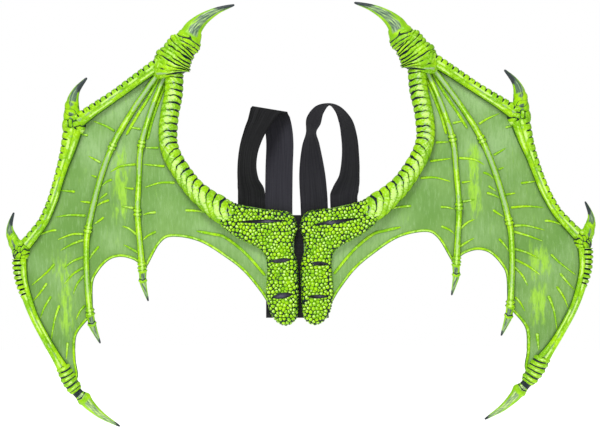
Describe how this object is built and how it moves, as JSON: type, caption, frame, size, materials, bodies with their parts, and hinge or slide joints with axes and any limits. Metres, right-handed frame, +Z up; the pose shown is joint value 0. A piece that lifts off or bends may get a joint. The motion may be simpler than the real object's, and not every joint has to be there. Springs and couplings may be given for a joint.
{
  "type": "dragon wing costume harness",
  "caption": "Pair of moulded foam dragon wings with scaled root plates, ribbed arms, clawed fingers and a thin scalloped skin, worn on black elastic shoulder loops.",
  "frame": {"origin": "on the rear face of the elastic back panel, at its middle line between the two wings and 77 mm below its top edge, where the panel rests on the back of the wearer", "axes": "worn upright: +X runs along the span to the right as seen from behind the wearer, +Z up, +Y into the back of the wearer; the sculpted front of the wings faces -Y"},
  "size_m": [0.8575, 0.0482, 0.619],
  "materials": {
    "limb_foam": "moulded flexible foam, bright lime brushed over a dark wash that stays in the grooves",
    "scaled_foam": "moulded pebbled scales, lime on top of each scale and near black between them",
    "claw_foam": "moulded claws, lime with dark streaks that run to a near black tip",
    "skin_foam": "thin leathery foam sheet in softer green with dry brushed lime streaks and raised veins",
    "elastic_webbing": "black woven elastic webbing with fine lengthwise ribs",
    "stitching": "black polyester thread in close zigzag bars"
  },
  "bodies": {
    "harness": {"back_panel": "elastic_webbing"},
    "left_wing": {"left_inner_claw": "claw_foam", "left_inner_finger": "limb_foam", "left_inner_strap_end": "elastic_webbing", "left_knuckle_1": "limb_foam", "left_knuckle_1_claw": "claw_foam", "left_knuckle_2": "limb_foam", "left_knuckle_2_claw": "claw_foam", "left_knuckle_3": "limb_foam", "left_leading_bone_1": "limb_foam", "left_leading_bone_2": "limb_foam", "left_leading_bone_3": "limb_foam", "left_low_slit_tab": "elastic_webbing", "left_middle_claw": "claw_foam", "left_middle_finger": "limb_foam", "left_middle_slit_tab": "elastic_webbing", "left_outer_strap_end": "elastic_webbing", "left_root_plate": "scaled_foam", "left_skin": "skin_foam", "left_strap_bar_tack": "stitching", "left_tip_claw": "claw_foam", "left_top_slit_tab": "elastic_webbing", "left_upper_arm": "limb_foam", "left_wrist": "limb_foam", "left_wrist_claw": "claw_foam"},
    "right_wing": {"right_inner_claw": "claw_foam", "right_inner_finger": "limb_foam", "right_inner_strap_end": "elastic_webbing", "right_knuckle_1": "limb_foam", "right_knuckle_1_claw": "claw_foam", "right_knuckle_2": "limb_foam", "right_knuckle_2_claw": "claw_foam", "right_knuckle_3": "limb_foam", "right_leading_bone_1": "limb_foam", "right_leading_bone_2": "limb_foam", "right_leading_bone_3": "limb_foam", "right_low_slit_tab": "elastic_webbing", "right_middle_claw": "claw_foam", "right_middle_finger": "limb_foam", "right_middle_slit_tab": "elastic_webbing", "right_outer_strap_end": "elastic_webbing", "right_root_plate": "scaled_foam", "right_skin": "skin_foam", "right_strap_bar_tack": "stitching", "right_tip_claw": "claw_foam", "right_top_slit_tab": "elastic_webbing", "right_upper_arm": "limb_foam", "right_wrist": "limb_foam", "right_wrist_claw": "claw_foam"},
    "left_strap": {"left_shoulder_loop": "elastic_webbing"},
    "right_strap": {"right_shoulder_loop": "elastic_webbing"}
  },
  "joints": [
    {"name": "left_wing_fold", "type": "hinge", "parent": "harness", "child": "left_wing", "pos_m": [-0.0065, -0.0102, 0], "axis": [0, 0, 1], "range_deg": [0, 75], "stiffness_Nm_per_rad": 0.05},
    {"name": "right_wing_fold", "type": "hinge", "parent": "harness", "child": "right_wing", "pos_m": [0.0065, -0.0102, 0], "axis": [0, 0, -1], "range_deg": [0, 75], "stiffness_Nm_per_rad": 0.05},
    {"name": "left_strap_swing", "type": "hinge", "parent": "left_wing", "child": "left_strap", "pos_m": [-0.04935, -0.0026, 0.086], "axis": [-1, 0, 0], "range_deg": [0, 90], "stiffness_Nm_per_rad": 0.05},
    {"name": "right_strap_swing", "type": "hinge", "parent": "right_wing", "child": "right_strap", "pos_m": [0.04407, -0.0026, 0.08773], "axis": [-0.9993, 0, -0.0384], "range_deg": [0, 90], "stiffness_Nm_per_rad": 0.05}
  ]
}
